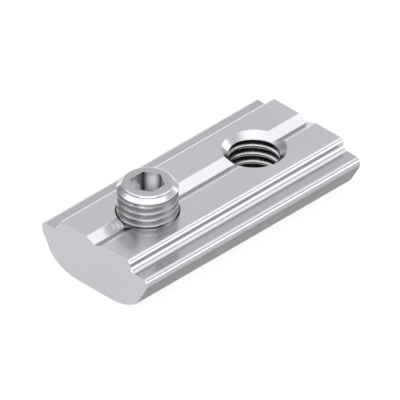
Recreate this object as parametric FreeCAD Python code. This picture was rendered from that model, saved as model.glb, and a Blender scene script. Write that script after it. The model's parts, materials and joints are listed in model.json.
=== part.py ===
import FreeCAD, Part
import math
import os

# T slot nut for an aluminium profile with a 14 mm slot: a length of drawn bar with two tapped
# holes through it, and a socket set screw that stands in one of them.
# Millimetres. The origin is on the underside, midway along the nut and across it. X runs along
# the nut, Z points up out of the slot, and the set screw is in the hole at -X.

# The drawn bar and its section
nut_length = 38.6
nut_width = 19.0
nut_height = 7.65
wing_height = 6.05
neck_width = 13.0
heel_width = 10.24
heel_angle = 32.0
flank_angle = 60.0
belly_radius = 7.4
knee_radius = 2.0
wing_side = 1.3
wing_edge_radius = 0.65
wing_root_radius = 1.4
neck_root_radius = 0.8
neck_edge_radius = 0.6

# The marking groove along the top of the neck
groove_width = 3.0
groove_depth = 0.68
groove_edge_radius = 0.3
groove_bottom_radius = 0.3

# The two tapped holes
hole_spacing = 19.3
thread_size = 8.0
thread_pitch = 1.25
countersink_margin = 0.225

# The set screw, with a fine thread
screw_size = 8.0
screw_pitch = 1.0
screw_length = 10.0
screw_rise = 4.45
screw_clearance = 0.05
screw_point_width = 5.5
screw_face_width = 6.4
screw_face_radius = 0.22
screw_face_step = 0.08
screw_shoulder_angle = 40.0
socket_across_flats = 4.0
socket_depth = 3.0
socket_drill_angle = 31.0

# Shares of the pitch in a 60 degree thread: its depth, and the width that its grooves have at the crests
HOLE_THREAD_DEPTH = 0.541266
HOLE_GROOVE_WIDTH = 0.75
SCREW_THREAD_DEPTH = 0.613434
SCREW_GROOVE_WIDTH = 0.875
# How far a cutting tool runs past the faces that it cuts
OVERRUN = 1.0


def corner_tangents(corners):
    """Distance from each corner to where its rounding starts, shortened where two would meet."""
    count = len(corners)
    tangents = []
    for index, (y, z, radius) in enumerate(corners):
        before = corners[index - 1]
        after = corners[(index + 1) % count]
        heading_in = math.atan2(z - before[1], y - before[0])
        heading_out = math.atan2(after[1] - z, after[0] - y)
        turn = abs(math.remainder(heading_out - heading_in, 2 * math.pi))
        tangents.append(radius * math.tan(turn / 2))
    shares = []
    for index, (y, z, _) in enumerate(corners):
        after = (index + 1) % count
        room = math.dist((y, z), corners[after][:2])
        wanted = tangents[index] + tangents[after]
        shares.append(min(1.0, room / wanted) if wanted else 1.0)
    return [tangent * min(shares[index - 1], shares[index]) for index, tangent in enumerate(tangents)]


def rounded_outline(corners):
    """Closed wire in the YZ plane through corners of (y, z, radius), with tangent arcs at the radii."""
    points = [FreeCAD.Vector(0, y, z) for y, z, _ in corners]
    tangents = corner_tangents(corners)
    edges = []
    run_start = None
    for index in range(-1, len(corners)):
        corner = points[index]
        to_before = (points[index - 1] - corner).normalize()
        to_after = (points[(index + 1) % len(corners)] - corner).normalize()
        arc_start = corner + to_before * tangents[index]
        arc_end = corner + to_after * tangents[index]
        if run_start is not None:
            if run_start.distanceToPoint(arc_start) > 1e-6:
                edges.append(Part.LineSegment(run_start, arc_start).toShape())
            if tangents[index] > 0:
                inward = (to_before + to_after).normalize()
                half_angle = to_before.getAngle(to_after) / 2
                radius = tangents[index] * math.tan(half_angle)
                arc_middle = corner + inward * (radius / math.sin(half_angle) - radius)
                edges.append(Part.Arc(arc_start, arc_middle, arc_end).toShape())
        run_start = arc_end
    return Part.Wire(edges)


def bar_section():
    """Corners of the bar's section: belly, flank, wing, neck and half the groove, and their mirror."""
    flank = math.radians(flank_angle)
    heel = math.radians(heel_angle)
    side_y = nut_width / 2
    side_bottom = wing_height - wing_side
    # The flank lies this far from the origin along its own outward normal
    flank_reach = side_y * math.sin(flank) - side_bottom * math.cos(flank)
    heel_y = heel_width / 2
    knee_y = ((flank_reach - heel_y * math.tan(heel) * math.cos(flank))
              / (math.sin(flank) - math.tan(heel) * math.cos(flank)))
    knee_z = (knee_y - heel_y) * math.tan(heel)
    right = [
        (heel_y, 0.0, belly_radius),
        (knee_y, knee_z, knee_radius),
        (side_y, side_bottom, wing_root_radius),
        (side_y, wing_height, wing_edge_radius),
        (neck_width / 2, wing_height, neck_root_radius),
        (neck_width / 2, nut_height, neck_edge_radius),
        (groove_width / 2, nut_height, groove_edge_radius),
    ]
    left = [(-y, z, radius) for y, z, radius in reversed(right)]
    return right + [(0.0, nut_height - groove_depth, groove_bottom_radius)] + left


def straight_edges(points, x):
    """Straight edges through (radius, height) points beside the upright axis at x."""
    places = [FreeCAD.Vector(x + radius, 0, height) for radius, height in points]
    return [Part.LineSegment(start, end).toShape() for start, end in zip(places, places[1:])]


def turned(edges, x):
    """Solid turned about the upright axis at x from the edges of a closed outline."""
    return Part.Face(Part.Wire(edges)).revolve(FreeCAD.Vector(x, 0, 0), FreeCAD.Vector(0, 0, 1), 360)


def plain_side(radius, bottom, top):
    """Points of (radius, height) up a plain upright side."""
    return [(radius, bottom), (radius, top)]


def threaded_side(crest_radius, root_radius, groove_width, pitch, bottom, top):
    """Points up an upright side with as many whole thread grooves as fit, drawn as level rings."""
    count = int((top - bottom - groove_width) / pitch) + 1
    lowest = (bottom + top - (count - 1) * pitch) / 2
    crest_reach = groove_width / 2
    root_reach = crest_reach - abs(crest_radius - root_radius) * math.tan(math.radians(30))
    side = [(crest_radius, bottom)]
    for index in range(count):
        middle = lowest + index * pitch
        side += [
            (crest_radius, middle - crest_reach),
            (root_radius, middle - root_reach),
            (root_radius, middle + root_reach),
            (crest_radius, middle + crest_reach),
        ]
    return side + [(crest_radius, top)]


def countersunk_hole(x, mouth_radius, side):
    """Tool for a hole through the nut, with the given side and a 45 degree countersink at each mouth."""
    outline = [(0, -OVERRUN), (mouth_radius + OVERRUN, -OVERRUN)] + side + [
        (mouth_radius + OVERRUN, nut_height + OVERRUN),
        (0, nut_height + OVERRUN),
        (0, -OVERRUN),
    ]
    return turned(straight_edges(outline, x), x)


def nut_body():
    """The bar cut to length, with the free tapped hole at +X and the set screw's hole at -X."""
    section = Part.Face(rounded_outline(bar_section()))
    bar = section.extrude(FreeCAD.Vector(nut_length, 0, 0))
    bar.translate(FreeCAD.Vector(-nut_length / 2, 0, 0))
    thread_radius = thread_size / 2
    crest_radius = thread_radius - HOLE_THREAD_DEPTH * thread_pitch
    mouth_radius = thread_radius + countersink_margin
    sink = mouth_radius - crest_radius
    free_hole = countersunk_hole(hole_spacing / 2, mouth_radius, threaded_side(
        crest_radius, thread_radius, HOLE_GROOVE_WIDTH * thread_pitch, thread_pitch,
        sink, nut_height - sink))
    bore_radius = screw_size / 2 + screw_clearance
    screw_sink = countersink_margin - screw_clearance
    screw_hole = countersunk_hole(-hole_spacing / 2, bore_radius + screw_sink, plain_side(
        bore_radius, screw_sink, nut_height - screw_sink))
    return bar.cut(free_hole).cut(screw_hole)


def hex_socket(x, top):
    """Tool for a hexagon socket with two corners along the nut, and the drill's cone under it."""
    corner_radius = socket_across_flats / math.sqrt(3)
    floor = top - socket_depth
    corners = []
    for index in range(6):
        angle = math.radians(60 * index)
        corners.append(FreeCAD.Vector(x + corner_radius * math.cos(angle),
                                      corner_radius * math.sin(angle), floor))
    hexagon = Part.Face(Part.makePolygon(corners + corners[:1]))
    prism = hexagon.extrude(FreeCAD.Vector(0, 0, socket_depth + OVERRUN))
    drill_radius = socket_across_flats / 2
    tip = floor - drill_radius * math.tan(math.radians(socket_drill_angle))
    cone = turned(straight_edges([(0, tip), (drill_radius, floor), (0, floor), (0, tip)], x), x)
    return prism.fuse(cone)


def set_screw():
    """Headless screw with a bevelled point, a thread, a sloping shoulder and a raised, round-edged face."""
    x = -hole_spacing / 2
    radius = screw_size / 2
    top = nut_height + screw_rise
    bottom = top - screw_length
    point_radius = screw_point_width / 2
    face_radius = screw_face_width / 2
    shoulder_radius = face_radius + screw_face_radius
    face_edge = top - screw_face_radius
    shoulder = face_edge - screw_face_step
    shoulder_drop = (radius - shoulder_radius) * math.tan(math.radians(screw_shoulder_angle))
    outline = [(face_radius, top), (0, top), (0, bottom), (point_radius, bottom)]
    outline += threaded_side(radius, radius - SCREW_THREAD_DEPTH * screw_pitch,
                             SCREW_GROOVE_WIDTH * screw_pitch, screw_pitch,
                             bottom + radius - point_radius, shoulder - shoulder_drop)
    outline += [(shoulder_radius, shoulder), (shoulder_radius, face_edge)]
    slant = screw_face_radius * math.sqrt(0.5)
    rim = Part.Arc(FreeCAD.Vector(x + shoulder_radius, 0, face_edge),
                   FreeCAD.Vector(x + face_radius + slant, 0, face_edge + slant),
                   FreeCAD.Vector(x + face_radius, 0, top)).toShape()
    return turned(straight_edges(outline, x) + [rim], x).cut(hex_socket(x, top))


os.makedirs("parts", exist_ok=True)
for name, shape in (("nut_body", nut_body()), ("set_screw", set_screw())):
    solid = shape.Solids[0]
    solid.exportStep("parts/" + name + ".step")
    print(name, "solids", len(shape.Solids), "valid", solid.isValid(), "volume", round(solid.Volume, 2))
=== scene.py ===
import json
import math

import bmesh
import bpy
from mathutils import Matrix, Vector


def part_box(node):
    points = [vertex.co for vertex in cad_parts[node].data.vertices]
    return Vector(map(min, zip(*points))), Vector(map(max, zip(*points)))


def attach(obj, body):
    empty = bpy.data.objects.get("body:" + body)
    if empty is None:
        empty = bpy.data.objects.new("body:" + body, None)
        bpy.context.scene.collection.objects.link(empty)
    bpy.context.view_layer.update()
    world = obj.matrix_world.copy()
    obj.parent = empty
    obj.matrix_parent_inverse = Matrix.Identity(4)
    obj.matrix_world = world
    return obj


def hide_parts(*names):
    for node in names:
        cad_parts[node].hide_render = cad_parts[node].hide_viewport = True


# A T slot nut of drawn bar with two tapped holes, and a socket set screw that stands in one of
# them. Sizes are in millimetres and are turned into metres by MM as a mesh or the camera is made.

MM = 0.001

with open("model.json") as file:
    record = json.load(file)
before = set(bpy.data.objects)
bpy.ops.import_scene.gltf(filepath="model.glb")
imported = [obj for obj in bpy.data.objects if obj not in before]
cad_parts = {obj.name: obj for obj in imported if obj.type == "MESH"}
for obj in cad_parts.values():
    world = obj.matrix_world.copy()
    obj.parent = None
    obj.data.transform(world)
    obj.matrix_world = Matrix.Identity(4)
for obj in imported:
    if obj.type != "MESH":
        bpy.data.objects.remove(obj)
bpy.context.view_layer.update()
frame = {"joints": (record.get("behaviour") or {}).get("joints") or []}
nut_low, nut_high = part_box("nut_body")
screw_low, screw_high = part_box("set_screw")

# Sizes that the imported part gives
NUT_LENGTH = (nut_high.x - nut_low.x) / MM
NUT_WIDTH = (nut_high.y - nut_low.y) / MM
NUT_HEIGHT = (nut_high.z - nut_low.z) / MM
SCREW_X = (screw_low.x + screw_high.x) / 2 / MM
SCREW_RADIUS = (screw_high.x - screw_low.x) / 2 / MM
SCREW_TOP = screw_high.z / MM
SCREW_BOTTOM = screw_low.z / MM
SCREW_DROP = -frame["joints"][0]["range_m"][0] / MM
FREE_X = -SCREW_X

# The bar's section
WING_HEIGHT = 6.05
NECK_WIDTH = 13.0
HEEL_WIDTH = 10.24
HEEL_ANGLE = math.radians(32)
FLANK_ANGLE = math.radians(60)
BELLY_RADIUS = 7.4
KNEE_RADIUS = 2.0
WING_SIDE = 1.3
WING_EDGE_RADIUS = 0.65
WING_ROOT_RADIUS = 1.4
NECK_ROOT_RADIUS = 0.8
NECK_EDGE_RADIUS = 0.6
GROOVE_WIDTH = 3.0
GROOVE_DEPTH = 0.68
GROOVE_EDGE_RADIUS = 0.45
GROOVE_BOTTOM_RADIUS = 0.3
END_BREAK = 0.04

# The holes and their threads
THREAD_RADIUS = 4.0
COUNTERSINK_RADIUS = 4.225
FREE_PITCH = 1.25
SCREW_PITCH = 1.0
THREAD_CLEARANCE = 0.05
SCREW_BORE_RADIUS = SCREW_RADIUS + THREAD_CLEARANCE
# Shares of the pitch between a thread's outside radius and its crest in a nut, or its root on a screw
NUT_THREAD_DEPTH = 0.541266
SCREW_THREAD_DEPTH = 0.613434
# Shares of the pitch: the width of a thread's outer flat, and how far a flank rounds into a flat
OUTER_FLAT = 0.125
THREAD_SOFTNESS = 0.03
FREE_HOLE_MINOR = THREAD_RADIUS - NUT_THREAD_DEPTH * FREE_PITCH
SCREW_HOLE_MINOR = SCREW_BORE_RADIUS - NUT_THREAD_DEPTH * SCREW_PITCH
FREE_SINK = COUNTERSINK_RADIUS - FREE_HOLE_MINOR
# A thread fades out over RUN_OUT. It leaves a plain land under the free hole's countersinks and
# under the screw's shoulder.
RUN_OUT = 0.25
SINK_LAND = 0.05
SHOULDER_LAND = 0.35
# The countersinks meet on a core this far inside the thread
CORE_GAP = 0.3
# Heights at which a crest stands on the side that faces the camera, and on the free hole's far side
SCREW_CREST_HEIGHT = 10.8
FREE_CREST_HEIGHT = 5.65
FRONT_BEARING = math.radians(-135)
BACK_BEARING = math.radians(45)

# The set screw
POINT_RADIUS = 2.75
FACE_RADIUS = 3.2
FACE_EDGE_RADIUS = 0.22
FACE_STEP = 0.08
FACE_EDGE_STEPS = 6
SHOULDER_ANGLE = math.radians(40)
SHOULDER_RADIUS = FACE_RADIUS + FACE_EDGE_RADIUS
SCREW_SHOULDER = SCREW_TOP - FACE_EDGE_RADIUS - FACE_STEP
SHOULDER_FOOT = SCREW_SHOULDER - (SCREW_RADIUS - SHOULDER_RADIUS) * math.tan(SHOULDER_ANGLE)
SCREW_THREAD_TOP = SHOULDER_FOOT - SHOULDER_LAND
SOCKET_FLATS = 4.0
SOCKET_DEPTH = 3.0
SOCKET_DRILL_ANGLE = math.radians(31)
SOCKET_CORNER_RADIUS = SOCKET_FLATS / math.sqrt(3)
# The drill's cone stays just inside the flats, and its tool reaches up into the socket
DRILL_RADIUS = SOCKET_FLATS / 2 * 0.999
DRILL_OVERLAP = 0.5
# Above this height the screw's hole is bored clear of thread, so that the land can follow the screw down
BORE_MARGIN = 0.4
BORE_BOTTOM = SCREW_THREAD_TOP - RUN_OUT - SCREW_DROP - BORE_MARGIN

# The photograph's view: orthographic, 45 degrees round and as steep as a cube's diagonal
VIEW_BEARING = math.radians(-135)
VIEW_ELEVATION = math.atan(math.sqrt(0.5))
VIEW_WIDTH = 51.2
VIEW_TARGET = Vector((0.34, 0.52, 4.0))
VIEW_DISTANCE = 500.0

# How finely curves are cut, how far a cutting tool runs past what it cuts, and where edges are crisp
ARC_STEP = math.radians(9)
TURN_SEGMENTS = 96
OVERRUN = 1.0
SHARP_ANGLE = math.radians(28)
# In metres: points closer than these are one, as built and as carved, and shorter edges are dropped
BUILT_MERGE = 1e-8
CARVED_MERGE = 2e-7
SHORTEST_EDGE = 1e-7

# Colours of the metals, each between two close tints
ZINC = ((0.528, 0.523, 0.548), (0.536, 0.531, 0.560))
STEEL = ((0.526, 0.523, 0.540), (0.534, 0.531, 0.550))

# Brightness of each zone beside its metal's own. All but the last two are painted shade and painted light;
# the unevenness and the line contrast are the metal's own tone and tool lines
# Painted shade on the bar: its wings are darker than its neck, and its flanks that face down are darker
# still
WING_PAINTED_SHADE = 0.88
UNDERCUT_PAINTED_SHADE = 0.52
# Painted shade on the screw's turned faces: the step that faces sideways and the flat face are darker
STEP_PAINTED_SHADE = 0.35
FACE_PAINTED_SHADE = 0.82
# Painted light and shade on the screw's thread: painted shade over it and on its land, painted highlights on
# the crests, painted light on the flanks that face down
THREAD_PAINTED_SHADE = 0.41
CREST_PAINTED_HIGHLIGHT = 0.7
UNDER_THREAD_PAINTED_LIGHT = 3.9
LAND_PAINTED_SHADE = 0.6
# Painted highlights on the free hole's crests, and painted shade in its roots and on its level flats
TAPPED_CREST_PAINTED_HIGHLIGHT = 1.1
TAPPED_ROOT_PAINTED_SHADE = 0.3
TAPPED_FLAT_PAINTED_SHADE = 0.4
# Painted shade all over the screw's hole, for the dark gap round the screw
SCREW_HOLE_PAINTED_SHADE = 0.3
# Painted light on the socket's flats and painted shade in its corners
SOCKET_FLAT_PAINTED_LIGHT = 1.43
SOCKET_CORNER_PAINTED_SHADE = 0.25
UNEVENNESS = 0.02
LINE_CONTRAST = 0.02
# Where the painted shade and painted light change, in millimetres: above the wings, under the screw's
# outside radius (from the flank's painted shade to the crest's painted highlight), round the end of its
# thread, into the free hole's thread, and in from the socket's flats and corners
NECK_FADE = 0.5
CREST_BAND = (0.12, 0.02)
LAND_FADE = 0.05
ROOT_FADE = 0.25
SOCKET_FLAT_BAND = 0.03
SOCKET_CORNER_BAND = 0.06

# How fast the marks on a surface change, in turns of noise a metre along each axis
CLOUD_SCALES = (240.0, 240.0, 240.0)
UNEVEN_SCALES = (90.0, 90.0, 90.0)
DRAWN_SCALES = (70.0, 5200.0, 5200.0)
SAWN_SCALES = (100.0, 90.0, 4200.0)
TAPPED_SCALES = (700.0, 700.0, 6000.0)
ROLLED_SCALES = (500.0, 500.0, 7000.0)
SOCKET_SCALES = (4200.0, 4200.0, 120.0)
COUNTERSINK_RINGS = 5200.0
TURNED_RINGS = 6000.0

# The studio: places and sizes in metres, and brightness as radiance
FLOOR_SIZE = 6.0
FLOOR_DROP = 0.00001
FLOOR_SHADE = 0.12
FLOOR_GLOW = 0.88
LAMP_DISTANCE = 1.2
# The walls' brightness from -Y to +Y, as (share of the way across, brightness)
WALLS = ((0.22, 0.9), (0.4, 0.88), (0.47, 0.76), (0.55, 0.78), (0.8, 0.95), (0.98, 0.42))


def rounded_outline(corners):
    """Points of a closed outline of (y, z, radius) corners, with each corner rounded by a tangent arc."""
    points = []
    for index, (y, z, radius) in enumerate(corners):
        corner = Vector((y, z))
        to_before = (Vector(corners[index - 1][:2]) - corner).normalized()
        to_after = (Vector(corners[(index + 1) % len(corners)][:2]) - corner).normalized()
        half_angle = to_before.angle(to_after) / 2
        centre = corner + (to_before + to_after).normalized() * (radius / math.sin(half_angle))
        start = corner + to_before * (radius / math.tan(half_angle)) - centre
        sweep = start.angle_signed(corner + to_after * (radius / math.tan(half_angle)) - centre)
        steps = max(2, round(abs(sweep) / ARC_STEP))
        for step in range(steps + 1):
            turn = -sweep * step / steps
            points.append((centre.x + start.x * math.cos(turn) - start.y * math.sin(turn),
                           centre.y + start.x * math.sin(turn) + start.y * math.cos(turn)))
    return points


def bar_corners():
    """Corners of the bar's section: belly, flank, wing, neck and groove, right side first."""
    side = NUT_WIDTH / 2
    side_bottom = WING_HEIGHT - WING_SIDE
    flank_reach = side * math.sin(FLANK_ANGLE) - side_bottom * math.cos(FLANK_ANGLE)
    heel = HEEL_WIDTH / 2
    slope = math.tan(HEEL_ANGLE)
    knee = ((flank_reach - heel * slope * math.cos(FLANK_ANGLE))
            / (math.sin(FLANK_ANGLE) - slope * math.cos(FLANK_ANGLE)))
    right = [
        (heel, 0.0, BELLY_RADIUS),
        (knee, (knee - heel) * slope, KNEE_RADIUS),
        (side, side_bottom, WING_ROOT_RADIUS),
        (side, WING_HEIGHT, WING_EDGE_RADIUS),
        (NECK_WIDTH / 2, WING_HEIGHT, NECK_ROOT_RADIUS),
        (NECK_WIDTH / 2, NUT_HEIGHT, NECK_EDGE_RADIUS),
        (GROOVE_WIDTH / 2, NUT_HEIGHT, GROOVE_EDGE_RADIUS),
    ]
    left = [(-y, z, radius) for y, z, radius in reversed(right)]
    return right + [(0.0, NUT_HEIGHT - GROOVE_DEPTH, GROOVE_BOTTOM_RADIUS)] + left


def inset(points, distance):
    """A closed outline moved inwards by a distance, as a broken edge needs."""
    moved = []
    for index, point in enumerate(points):
        along = Vector(points[(index + 1) % len(points)]) - Vector(points[index - 1])
        inward = Vector((-along.y, along.x)).normalized() * distance
        moved.append((point[0] + inward.x, point[1] + inward.y))
    return moved


def new_object(name, points, faces):
    """Object at the origin from points in millimetres."""
    mesh = bpy.data.meshes.new(name)
    mesh.from_pydata([tuple(Vector(point) * MM) for point in points], [], faces)
    body = bmesh.new()
    body.from_mesh(mesh)
    bmesh.ops.remove_doubles(body, verts=body.verts, dist=BUILT_MERGE)
    bmesh.ops.recalc_face_normals(body, faces=body.faces)
    body.to_mesh(mesh)
    body.free()
    made = bpy.data.objects.new(name, mesh)
    bpy.context.scene.collection.objects.link(made)
    return made


def drawn_bar(name):
    """The bar's section drawn along X, with its end edges just broken."""
    section = rounded_outline(bar_corners())
    broken = inset(section, END_BREAK)
    half = NUT_LENGTH / 2
    rings = [(-half, broken), (END_BREAK - half, section), (half - END_BREAK, section), (half, broken)]
    points = [(x, y, z) for x, ring in rings for y, z in ring]
    count = len(section)
    faces = [tuple(range(count)), tuple(range(3 * count, 4 * count))]
    for ring in range(len(rings) - 1):
        for index in range(count):
            after = (index + 1) % count
            faces.append((ring * count + index, ring * count + after,
                          (ring + 1) * count + after, (ring + 1) * count + index))
    return new_object(name, points, faces)


def turned(name, outline, x):
    """Solid turned about the upright axis at x, from an open outline of (radius, z) that starts and
    ends on the axis."""
    points = []
    for radius, z in outline:
        for segment in range(TURN_SEGMENTS):
            bearing = 2 * math.pi * segment / TURN_SEGMENTS
            points.append((x + radius * math.cos(bearing), radius * math.sin(bearing), z))
    faces = []
    for ring in range(len(outline) - 1):
        for segment in range(TURN_SEGMENTS):
            after = (segment + 1) % TURN_SEGMENTS
            faces.append((ring * TURN_SEGMENTS + segment, ring * TURN_SEGMENTS + after,
                          (ring + 1) * TURN_SEGMENTS + after, (ring + 1) * TURN_SEGMENTS + segment))
    return new_object(name, points, faces)


def cylinder(name, radius, bottom, top, x):
    """Upright cylinder about the axis at x."""
    return turned(name, [(0.0, bottom), (radius, bottom), (radius, top), (0.0, top)], x)


def soft_lower(first, second, softness):
    """The lower of two numbers, rounded where they meet."""
    overlap = max(softness - abs(first - second), 0.0)
    return min(first, second) - overlap * overlap / (4 * softness)


def thread_radius(share, major, minor, pitch):
    """Radius of a 60 degree thread at a share of the pitch from its outer flat's middle."""
    sharp = major + (OUTER_FLAT / 2 - abs(share)) * pitch * math.sqrt(3)
    outer = soft_lower(sharp, major, THREAD_SOFTNESS * pitch)
    return -soft_lower(-outer, -minor, THREAD_SOFTNESS * pitch)


def thread_shares(major, minor, pitch):
    """Shares of the pitch for the rows across a thread, close together where a flank meets a flat."""
    outer_corner = OUTER_FLAT / 2
    inner_corner = outer_corner + (major - minor) / (pitch * math.sqrt(3))
    spread = THREAD_SOFTNESS / math.sqrt(3)
    half = [corner + spread * step / 3 for corner in (outer_corner, inner_corner) for step in (-3, -1, 1, 3)]
    return [-share for share in reversed(half)] + half + [0.5]


def thread_left(distance):
    """Share of a thread's depth that is left at a distance inside the place where it has faded out."""
    return min(max(distance / RUN_OUT, 0.0), 1.0)


def threaded_rod(name, x, bottom, top, pitch, major, minor, crest, bearing, plain, fade):
    """Solid rod with a right-hand thread, whose outer flat is at height crest on the given bearing.
    Its grid follows the helix. fade gives the share of the thread that is left at a height, and
    where that is none the rod has the plain radius."""
    shares = thread_shares(major, minor, pitch)
    rows_per_turn = len(shares)
    turn_count = math.ceil((top - bottom) / pitch) + 1
    start = crest - bearing / (2 * math.pi) * pitch
    start -= math.ceil((start - bottom) / pitch + 1) * pitch
    points = []
    place = {}

    def add(column, row):
        turn, step = divmod(row, rows_per_turn)
        angle = 2 * math.pi * column / TURN_SEGMENTS
        z = start + (turn + column / TURN_SEGMENTS + shares[step]) * pitch
        radius = thread_radius(shares[step], major, minor, pitch)
        radius = plain + (radius - plain) * fade(z)
        place[column, row] = len(points)
        points.append((x + radius * math.cos(angle), radius * math.sin(angle), z))

    last_row = (turn_count + 1) * rows_per_turn
    for column in range(TURN_SEGMENTS):
        extra = rows_per_turn if column == 0 else 0
        for row in range(last_row + extra + 1):
            add(column, row)
    for row in range(last_row + 1):
        place[TURN_SEGMENTS, row] = place[0, row + rows_per_turn]
    faces = []
    for column in range(TURN_SEGMENTS):
        for row in range(last_row):
            faces.append((place[column, row], place[column + 1, row],
                          place[column + 1, row + 1], place[column, row + 1]))
    low_loop = [place[column, 0] for column in range(TURN_SEGMENTS + 1)]
    low_loop += [place[0, row] for row in range(rows_per_turn - 1, 0, -1)]
    high_loop = [place[column, last_row] for column in range(TURN_SEGMENTS + 1)]
    high_loop += [place[0, row] for row in range(last_row + rows_per_turn - 1, last_row, -1)]
    for loop, z in ((low_loop, start - pitch), (high_loop, start + (turn_count + 3) * pitch)):
        centre = len(points)
        points.append((x, 0.0, z))
        for index, first in enumerate(loop):
            faces.append((centre, first, loop[(index + 1) % len(loop)]))
    return new_object(name, points, faces)


def carve(body, tool, operation="DIFFERENCE"):
    """Cuts body with tool, or keeps what they share, and removes the tool."""
    step = body.modifiers.new("carve", "BOOLEAN")
    step.operation = operation
    step.solver = "MANIFOLD"
    step.object = tool
    bpy.context.view_layer.update()
    carved = bpy.data.meshes.new_from_object(body.evaluated_get(bpy.context.evaluated_depsgraph_get()))
    body.modifiers.clear()
    carved.materials.clear()
    body.data = carved
    bpy.data.objects.remove(tool)


def tapped_hole(body, x, pitch, major, minor, crest, bearing, fade):
    """Cuts a tapped hole through the nut, with a 45 degree countersink at each mouth."""
    carve(body, threaded_rod("tap", x, -OVERRUN, NUT_HEIGHT + OVERRUN, pitch, major, minor,
                             crest, bearing, minor, fade))
    core = minor - CORE_GAP
    sink = COUNTERSINK_RADIUS - core
    outline = [
        (0.0, -OVERRUN),
        (COUNTERSINK_RADIUS + OVERRUN, -OVERRUN),
        (core, sink),
        (core, NUT_HEIGHT - sink),
        (COUNTERSINK_RADIUS + OVERRUN, NUT_HEIGHT + OVERRUN),
        (0.0, NUT_HEIGHT + OVERRUN),
    ]
    carve(body, turned("countersink", outline, x))


def smooth_surface(body):
    """Smooth shading with crisp edges, where large flat faces keep their own direction."""
    form = bmesh.new()
    form.from_mesh(body.data)
    bmesh.ops.remove_doubles(form, verts=form.verts, dist=CARVED_MERGE)
    bmesh.ops.dissolve_degenerate(form, edges=form.edges, dist=SHORTEST_EDGE)
    for face in form.faces:
        face.smooth = True
    for edge in form.edges:
        edge.smooth = len(edge.link_faces) == 2 and edge.calc_face_angle(0) < SHARP_ANGLE
    form.to_mesh(body.data)
    form.free()
    weigh = body.modifiers.new("weigh", "WEIGHTED_NORMAL")
    weigh.weight = 100
    weigh.keep_sharp = True


def make_nut():
    """The nut: the drawn bar with its two tapped holes, and the screw's hole bored clear near the top."""

    def free_fade(z):
        return thread_left(min(z, NUT_HEIGHT - z) - FREE_SINK - SINK_LAND)

    def whole_thread(_):
        return 1.0

    nut = drawn_bar("slot_nut")
    tapped_hole(nut, FREE_X, FREE_PITCH, THREAD_RADIUS, FREE_HOLE_MINOR,
                FREE_CREST_HEIGHT + FREE_PITCH / 2, BACK_BEARING, free_fade)
    tapped_hole(nut, SCREW_X, SCREW_PITCH, SCREW_BORE_RADIUS, SCREW_HOLE_MINOR,
                SCREW_CREST_HEIGHT, FRONT_BEARING, whole_thread)
    carve(nut, cylinder("bore", SCREW_BORE_RADIUS, BORE_BOTTOM, NUT_HEIGHT + OVERRUN, SCREW_X))
    return nut


def screw_outline():
    """Outline of the screw as (radius, z), up its bevelled point, its side, its shoulder and its round edge.
    The side stands clear of the thread."""
    side = SCREW_RADIUS + OVERRUN
    outline = [
        (0.0, SCREW_BOTTOM),
        (POINT_RADIUS, SCREW_BOTTOM),
        (side, SCREW_BOTTOM + side - POINT_RADIUS),
        (side, SCREW_SHOULDER - (side - SHOULDER_RADIUS) * math.tan(SHOULDER_ANGLE)),
        (SHOULDER_RADIUS, SCREW_SHOULDER),
    ]
    for step in range(FACE_EDGE_STEPS + 1):
        angle = math.pi / 2 * step / FACE_EDGE_STEPS
        outline.append((FACE_RADIUS + FACE_EDGE_RADIUS * math.cos(angle),
                        SCREW_TOP - FACE_EDGE_RADIUS + FACE_EDGE_RADIUS * math.sin(angle)))
    outline.append((0.0, SCREW_TOP))
    return outline


def socket_prism(floor):
    """Hexagonal tool for the socket, with two corners along the nut."""
    points = []
    for z in (floor, SCREW_TOP + OVERRUN):
        for index in range(6):
            bearing = math.radians(60 * index)
            points.append((SCREW_X + SOCKET_CORNER_RADIUS * math.cos(bearing),
                           SOCKET_CORNER_RADIUS * math.sin(bearing), z))
    faces = [tuple(range(6)), tuple(range(6, 12))]
    for index in range(6):
        faces.append((index, (index + 1) % 6, (index + 1) % 6 + 6, index + 6))
    return new_object("socket", points, faces)


def make_screw():
    """The set screw: a threaded rod turned to its form, with a hexagon socket."""

    def fade(z):
        return thread_left(SCREW_THREAD_TOP - z)

    screw = threaded_rod("socket_screw", SCREW_X, SCREW_BOTTOM - OVERRUN, SCREW_TOP + OVERRUN,
                         SCREW_PITCH, SCREW_RADIUS, SCREW_RADIUS - SCREW_THREAD_DEPTH * SCREW_PITCH,
                         SCREW_CREST_HEIGHT, FRONT_BEARING, SCREW_RADIUS, fade)
    carve(screw, turned("blank", screw_outline(), SCREW_X), "INTERSECT")
    floor = SCREW_TOP - SOCKET_DEPTH
    carve(screw, socket_prism(floor))
    drill_tip = floor - SOCKET_FLATS / 2 * math.tan(SOCKET_DRILL_ANGLE)
    drill_top = floor + DRILL_OVERLAP
    carve(screw, turned("drill", [(0.0, drill_tip), (DRILL_RADIUS, floor), (DRILL_RADIUS, drill_top),
                                  (0.0, drill_top)], SCREW_X))
    return screw


def set_inputs(node, **values):
    """Sets a node's inputs by name, with an underscore for each space."""
    for name, value in values.items():
        node.inputs[name.replace("_", " ")].default_value = value
    return node


def grain(tree, scales, detail=3.0):
    """Noise in the piece's own space, stretched by its scales a metre along each axis."""
    place = tree.nodes.new("ShaderNodeTexCoord")
    stretch = set_inputs(tree.nodes.new("ShaderNodeMapping"), Scale=scales)
    noise = set_inputs(tree.nodes.new("ShaderNodeTexNoise"), Scale=1.0, Detail=detail)
    tree.links.new(place.outputs["Object"], stretch.inputs["Vector"])
    tree.links.new(stretch.outputs["Vector"], noise.inputs["Vector"])
    return noise.outputs["Fac"]


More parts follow.
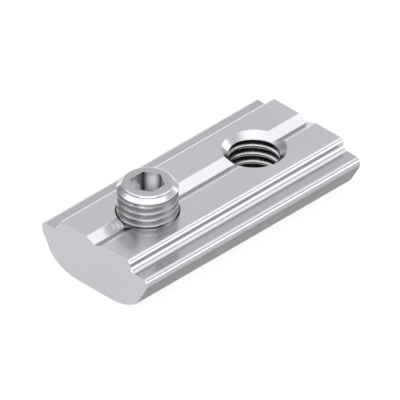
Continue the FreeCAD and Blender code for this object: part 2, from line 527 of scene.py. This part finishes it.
def reach(tree, x):
    """Distance in metres from the upright axis at x."""
    place = tree.nodes.new("ShaderNodeTexCoord")
    level = set_inputs(tree.nodes.new("ShaderNodeMapping"), Location=(-x * MM, 0.0, 0.0),
                       Scale=(1.0, 1.0, 0.0))
    length = tree.nodes.new("ShaderNodeVectorMath")
    length.operation = "LENGTH"
    tree.links.new(place.outputs["Object"], level.inputs["Vector"])
    tree.links.new(level.outputs["Vector"], length.inputs[0])
    return length.outputs["Value"]


def height(tree, output="Object"):
    """Height in metres in the piece's own space, or with output Normal how far the surface faces up."""
    place = tree.nodes.new("ShaderNodeTexCoord")
    axes = tree.nodes.new("ShaderNodeSeparateXYZ")
    tree.links.new(place.outputs[output], axes.inputs["Vector"])
    return axes.outputs["Z"]


def rings(tree, x, scale):
    """Noise that changes only with the distance from the upright axis at x, and with height."""
    across = tree.nodes.new("ShaderNodeCombineXYZ")
    noise = set_inputs(tree.nodes.new("ShaderNodeTexNoise"), Scale=scale, Detail=2.0)
    tree.links.new(reach(tree, x), across.inputs["X"])
    tree.links.new(height(tree), across.inputs["Z"])
    tree.links.new(across.outputs["Vector"], noise.inputs["Vector"])
    return noise.outputs["Fac"]


def spread(tree, factor, low, high, start=0.3, end=0.7):
    """A number between low and high as a factor goes from start to end."""
    scale = set_inputs(tree.nodes.new("ShaderNodeMapRange"), From_Min=start, From_Max=end,
                       To_Min=low, To_Max=high)
    tree.links.new(factor, scale.inputs["Value"])
    return scale.outputs["Result"]


def product(tree, first, *others):
    """Numbers multiplied."""
    for other in others:
        times = tree.nodes.new("ShaderNodeMath")
        times.operation = "MULTIPLY"
        tree.links.new(first, times.inputs[0])
        tree.links.new(other, times.inputs[1])
        first = times.outputs["Value"]
    return first


def blend(tree, factor, first, second):
    """Colour between two colours."""
    mix = tree.nodes.new("ShaderNodeMix")
    mix.data_type = "RGBA"
    mix.inputs["A"].default_value = (*first, 1.0)
    mix.inputs["B"].default_value = (*second, 1.0)
    tree.links.new(factor, mix.inputs["Factor"])
    return mix.outputs["Result"]


def metal(name, tint, shade, marks, roughness, depth, edge=1.0):
    """Metal with a cloudy tint. shade gives its brightness and marks its tooling lines, which also
    turn its roughness from the first to the second number and stand up by depth in micrometres. edge
    is how bright it is at a glancing angle."""
    material = bpy.data.materials.new(name)
    material.use_nodes = True
    tree = material.node_tree
    shader = set_inputs(tree.nodes["Principled BSDF"], Metallic=1.0, Specular_Tint=(edge, edge, edge, 1.0))
    lines = marks(tree)
    cloud = grain(tree, CLOUD_SCALES, 2.0)
    color = blend(tree, spread(tree, cloud, 0.0, 1.0), *tint)
    level = product(tree, shade(tree), spread(tree, lines, 1.0 - LINE_CONTRAST, 1.0 + LINE_CONTRAST))
    toned = tree.nodes.new("ShaderNodeVectorMath")
    toned.operation = "SCALE"
    tree.links.new(color, toned.inputs["Vector"])
    tree.links.new(level, toned.inputs["Scale"])
    tree.links.new(toned.outputs["Vector"], shader.inputs["Base Color"])
    tree.links.new(spread(tree, lines, *roughness), shader.inputs["Roughness"])
    bump = set_inputs(tree.nodes.new("ShaderNodeBump"), Strength=1.0, Distance=depth * 1e-6)
    tree.links.new(lines, bump.inputs["Height"])
    tree.links.new(bump.outputs["Normal"], shader.inputs["Normal"])
    return material


def lines_along(scales):
    """Marks of a tool that ran straight."""
    return lambda tree: grain(tree, scales)


def lines_round(x, scale):
    """Marks of a tool that ran round the upright axis at x."""
    return lambda tree: rings(tree, x, scale)


def plain_shade(tree, level=1.0):
    """Brightness with only a slow unevenness."""
    return spread(tree, grain(tree, UNEVEN_SCALES, 1.0), level - UNEVENNESS, level + UNEVENNESS)


def screw_hole_painted_shade(tree):
    """Brightness of the screw's hole, with painted shade all over it for the dark gap round the screw."""
    return plain_shade(tree, SCREW_HOLE_PAINTED_SHADE)


def drawn_painted_shade(tree):
    """Brightness of the bar, with painted shade that makes its wings, and more so its undercut flanks that
    face down, darker than its neck.
    """
    wings = spread(tree, height(tree), WING_PAINTED_SHADE, 1.0,
                   start=WING_HEIGHT * MM, end=(WING_HEIGHT + NECK_FADE) * MM)
    undercut = spread(tree, height(tree, "Normal"), UNDERCUT_PAINTED_SHADE, 1.0, start=-0.3, end=0.0)
    return product(tree, wings, undercut, plain_shade(tree))


def turned_painted_shade(tree):
    """Brightness of the turned faces, with painted shade on the step that faces sideways and on the flat
    face.
    """
    step = spread(tree, height(tree, "Normal"), STEP_PAINTED_SHADE, 1.0, start=0.0, end=0.45)
    face = spread(tree, height(tree, "Normal"), 1.0, FACE_PAINTED_SHADE, start=0.95, end=1.0)
    return product(tree, step, face, plain_shade(tree))


def rolled_painted_light_and_shade(tree):
    """Brightness of the screw's thread: painted shade, darker on its land, with painted highlights on the
    crests and painted light on the flanks facing down.
    """
    painted_shade_edge, bright = CREST_BAND
    across = spread(tree, reach(tree, SCREW_X), THREAD_PAINTED_SHADE, CREST_PAINTED_HIGHLIGHT,
                    start=(SCREW_RADIUS - painted_shade_edge) * MM, end=(SCREW_RADIUS - bright) * MM)
    under = spread(tree, height(tree, "Normal"), UNDER_THREAD_PAINTED_LIGHT, 1.0, start=-0.6, end=0.0)
    land = spread(tree, height(tree), 1.0, LAND_PAINTED_SHADE,
                  start=(SCREW_THREAD_TOP - LAND_FADE) * MM, end=(SCREW_THREAD_TOP + LAND_FADE) * MM)
    return product(tree, across, under, land, plain_shade(tree))


def tapped_painted_light_and_shade(tree):
    """Brightness of the free hole's thread: painted highlights on its crests, and painted shade in its roots
    and on its level flats.
    """
    depth = spread(tree, reach(tree, FREE_X), TAPPED_CREST_PAINTED_HIGHLIGHT, TAPPED_ROOT_PAINTED_SHADE,
                   start=FREE_HOLE_MINOR * MM, end=(FREE_HOLE_MINOR + ROOT_FADE) * MM)
    flat = spread(tree, height(tree, "Normal"), TAPPED_FLAT_PAINTED_SHADE, 1.0, start=0.15, end=0.6)
    return product(tree, depth, flat, plain_shade(tree))


def socket_painted_light_and_shade(tree):
    """Brightness of the socket: painted light on its flats, and painted shade into its corners."""
    corners = spread(tree, reach(tree, SCREW_X), SOCKET_FLAT_PAINTED_LIGHT, SOCKET_CORNER_PAINTED_SHADE,
                     start=(SOCKET_FLATS / 2 + SOCKET_FLAT_BAND) * MM,
                     end=(SOCKET_CORNER_RADIUS - SOCKET_CORNER_BAND) * MM)
    return product(tree, corners, plain_shade(tree))


def nut_materials():
    """The nut's drawn skin, neck top, sawn ends, countersink and tapped threads, by zone."""
    return {
        "drawn": metal("drawn_zinc", ZINC, drawn_painted_shade, lines_along(DRAWN_SCALES),
                       roughness=(0.17, 0.22), depth=0.15, edge=0.7),
        "neck_top": metal("neck_top_zinc", ZINC, drawn_painted_shade, lines_along(DRAWN_SCALES),
                          roughness=(0.215, 0.245), depth=0.1, edge=0.7),
        "end": metal("sawn_end", ZINC, plain_shade, lines_along(SAWN_SCALES),
                     roughness=(0.2, 0.27), depth=0.25),
        "sink": metal("countersink", ZINC, plain_shade, lines_round(FREE_X, COUNTERSINK_RINGS),
                      roughness=(0.18, 0.24), depth=0.2),
        "free_thread": metal("free_thread", ZINC, tapped_painted_light_and_shade, lines_along(TAPPED_SCALES),
                             roughness=(0.18, 0.26), depth=0.2),
        "screw_thread": metal("screw_thread", ZINC, screw_hole_painted_shade, lines_along(TAPPED_SCALES),
                              roughness=(0.18, 0.26), depth=0.2),
    }


def screw_materials():
    """The screw's turned face and point, rolled thread and pressed socket, by zone."""
    return {
        "turned": metal("turned_steel", ZINC, turned_painted_shade, lines_round(SCREW_X, TURNED_RINGS),
                        roughness=(0.16, 0.22), depth=0.2),
        "thread": metal("rolled_thread", STEEL, rolled_painted_light_and_shade, lines_along(ROLLED_SCALES),
                        roughness=(0.25, 0.31), depth=0.2),
        "socket": metal("socket_wall", STEEL, socket_painted_light_and_shade, lines_along(SOCKET_SCALES),
                        roughness=(0.26, 0.3), depth=0.04),
    }


def nut_zone(face):
    """Name of the zone that a face of the nut is in."""
    at = face.center / MM
    if abs(face.normal.x) > 0.999 and abs(at.x) > NUT_LENGTH / 2 - END_BREAK:
        return "end"
    for x in (SCREW_X, FREE_X):
        outward = Vector((at.x - x, at.y))
        faces_axis = outward.dot(face.normal.xy) < -0.3 * outward.length
        if outward.length < COUNTERSINK_RADIUS and faces_axis:
            if x == SCREW_X:
                return "screw_thread"
            return "free_thread" if FREE_SINK < at.z < NUT_HEIGHT - FREE_SINK else "sink"
    in_groove_or_above = at.z > NUT_HEIGHT - GROOVE_DEPTH - 0.1
    within_neck_edges = abs(at.y) < NECK_WIDTH / 2 - NECK_EDGE_RADIUS + 0.01
    if in_groove_or_above and within_neck_edges and abs(face.normal.y) < 0.6:
        return "neck_top"
    return "drawn"


def screw_zone(face):
    """Name of the zone that a face of the screw is in."""
    at = face.center / MM
    distance = math.hypot(at.x - SCREW_X, at.y)
    if distance < SOCKET_CORNER_RADIUS and SCREW_BOTTOM + 0.1 < at.z < SCREW_TOP - 0.001:
        return "socket"
    threaded = SCREW_BOTTOM + SCREW_RADIUS - POINT_RADIUS < at.z < SHOULDER_FOOT
    return "thread" if threaded and distance > FACE_RADIUS else "turned"


def dress(body, materials, zone):
    """Gives each face the material of its zone."""
    order = list(materials)
    for name in order:
        body.data.materials.append(materials[name])
    for face in body.data.polygons:
        face.material_index = order.index(zone(face))


def aim(bearing, elevation):
    """Unit vector from the nut toward a bearing and an elevation in radians."""
    return Vector((math.cos(elevation) * math.cos(bearing), math.cos(elevation) * math.sin(bearing),
                   math.sin(elevation)))


def soft_light(name, place, width, height, radiance, shape="RECTANGLE"):
    """Area light at a place in metres that faces the nut, as bright all over as its radiance."""
    light = bpy.data.lights.new(name, "AREA")
    light.shape = shape
    light.size = width
    light.size_y = height
    area = width * height * (math.pi / 4 if shape == "ELLIPSE" else 1)
    light.energy = radiance * math.pi * area
    lamp = bpy.data.objects.new(name, light)
    bpy.context.scene.collection.objects.link(lamp)
    lamp.location = place
    lamp.rotation_euler = Vector(place).to_track_quat("Z", "Y").to_euler()
    lamp.visible_camera = False


def side_light(name, bearing, elevation, width, height, radiance):
    """Soft light round the nut, at a bearing and an elevation in degrees."""
    place = aim(math.radians(bearing), math.radians(elevation)) * LAMP_DISTANCE
    soft_light(name, place, width, height, radiance)


def make_floor():
    """Plain pale floor, just under the nut so that the two don't share a plane."""
    bpy.ops.mesh.primitive_plane_add(size=FLOOR_SIZE, location=(0, 0, -FLOOR_DROP))
    floor = bpy.context.object
    floor.name = "floor"
    paint = bpy.data.materials.new("floor_paint")
    paint.use_nodes = True
    set_inputs(paint.node_tree.nodes["Principled BSDF"], Roughness=1.0, Specular_IOR_Level=0.0,
               Base_Color=(FLOOR_SHADE, FLOOR_SHADE, FLOOR_SHADE, 1.0),
               Emission_Color=(1.0, 1.0, 1.0, 1.0), Emission_Strength=FLOOR_GLOW)
    floor.data.materials.append(paint)


def make_walls():
    """Pale studio all round, whose brightness changes across it."""
    world = bpy.data.worlds.new("studio")
    world.use_nodes = True
    tree = world.node_tree
    direction = tree.nodes.new("ShaderNodeTexCoord")
    axes = tree.nodes.new("ShaderNodeSeparateXYZ")
    across = set_inputs(tree.nodes.new("ShaderNodeMapRange"), From_Min=-1.0)
    walls = tree.nodes.new("ShaderNodeValToRGB")
    marks = walls.color_ramp.elements
    first, *between, last = WALLS
    for mark, (share, level) in zip(marks, (first, last)):
        mark.position = share
        mark.color = (level, level, level, 1.0)
    for share, level in between:
        marks.new(share).color = (level, level, level, 1.0)
    tree.links.new(direction.outputs["Generated"], axes.inputs["Vector"])
    tree.links.new(axes.outputs["Y"], across.inputs["Value"])
    tree.links.new(across.outputs["Result"], walls.inputs["Fac"])
    tree.links.new(walls.outputs["Color"], tree.nodes["Background"].inputs["Color"])
    bpy.context.scene.world = world


def make_lights():
    """A large lamp overhead and three low ones, which put the white lines on the edges."""
    soft_light("overhead", (-0.05, 0.05, 1.0), width=1.78, height=2.26, radiance=1.02, shape="ELLIPSE")
    side_light("low_right", bearing=-38, elevation=12, width=1.84, height=0.5, radiance=1.95)
    side_light("low_back", bearing=50, elevation=11, width=1.4, height=0.4, radiance=1.95)
    side_light("front", bearing=-135, elevation=27, width=1.4, height=0.6, radiance=4.4)


def make_camera():
    """The photograph's camera."""
    camera = bpy.data.cameras.new("camera")
    camera.type = "ORTHO"
    camera.ortho_scale = VIEW_WIDTH * MM
    camera.clip_start = 0.01
    camera.clip_end = 10.0
    viewer = bpy.data.objects.new("camera", camera)
    bpy.context.scene.collection.objects.link(viewer)
    direction = aim(VIEW_BEARING, VIEW_ELEVATION)
    viewer.location = (VIEW_TARGET + direction * VIEW_DISTANCE) * MM
    viewer.rotation_euler = direction.to_track_quat("Z", "Y").to_euler()
    bpy.context.scene.camera = viewer


make_floor()
make_walls()
make_lights()
make_camera()
bpy.context.scene.view_settings.view_transform = "Standard"

nut = make_nut()
dress(nut, nut_materials(), nut_zone)
smooth_surface(nut)
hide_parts("nut_body")
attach(nut, "nut")

screw = make_screw()
dress(screw, screw_materials(), screw_zone)
smooth_surface(screw)
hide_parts("set_screw")
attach(screw, "screw")
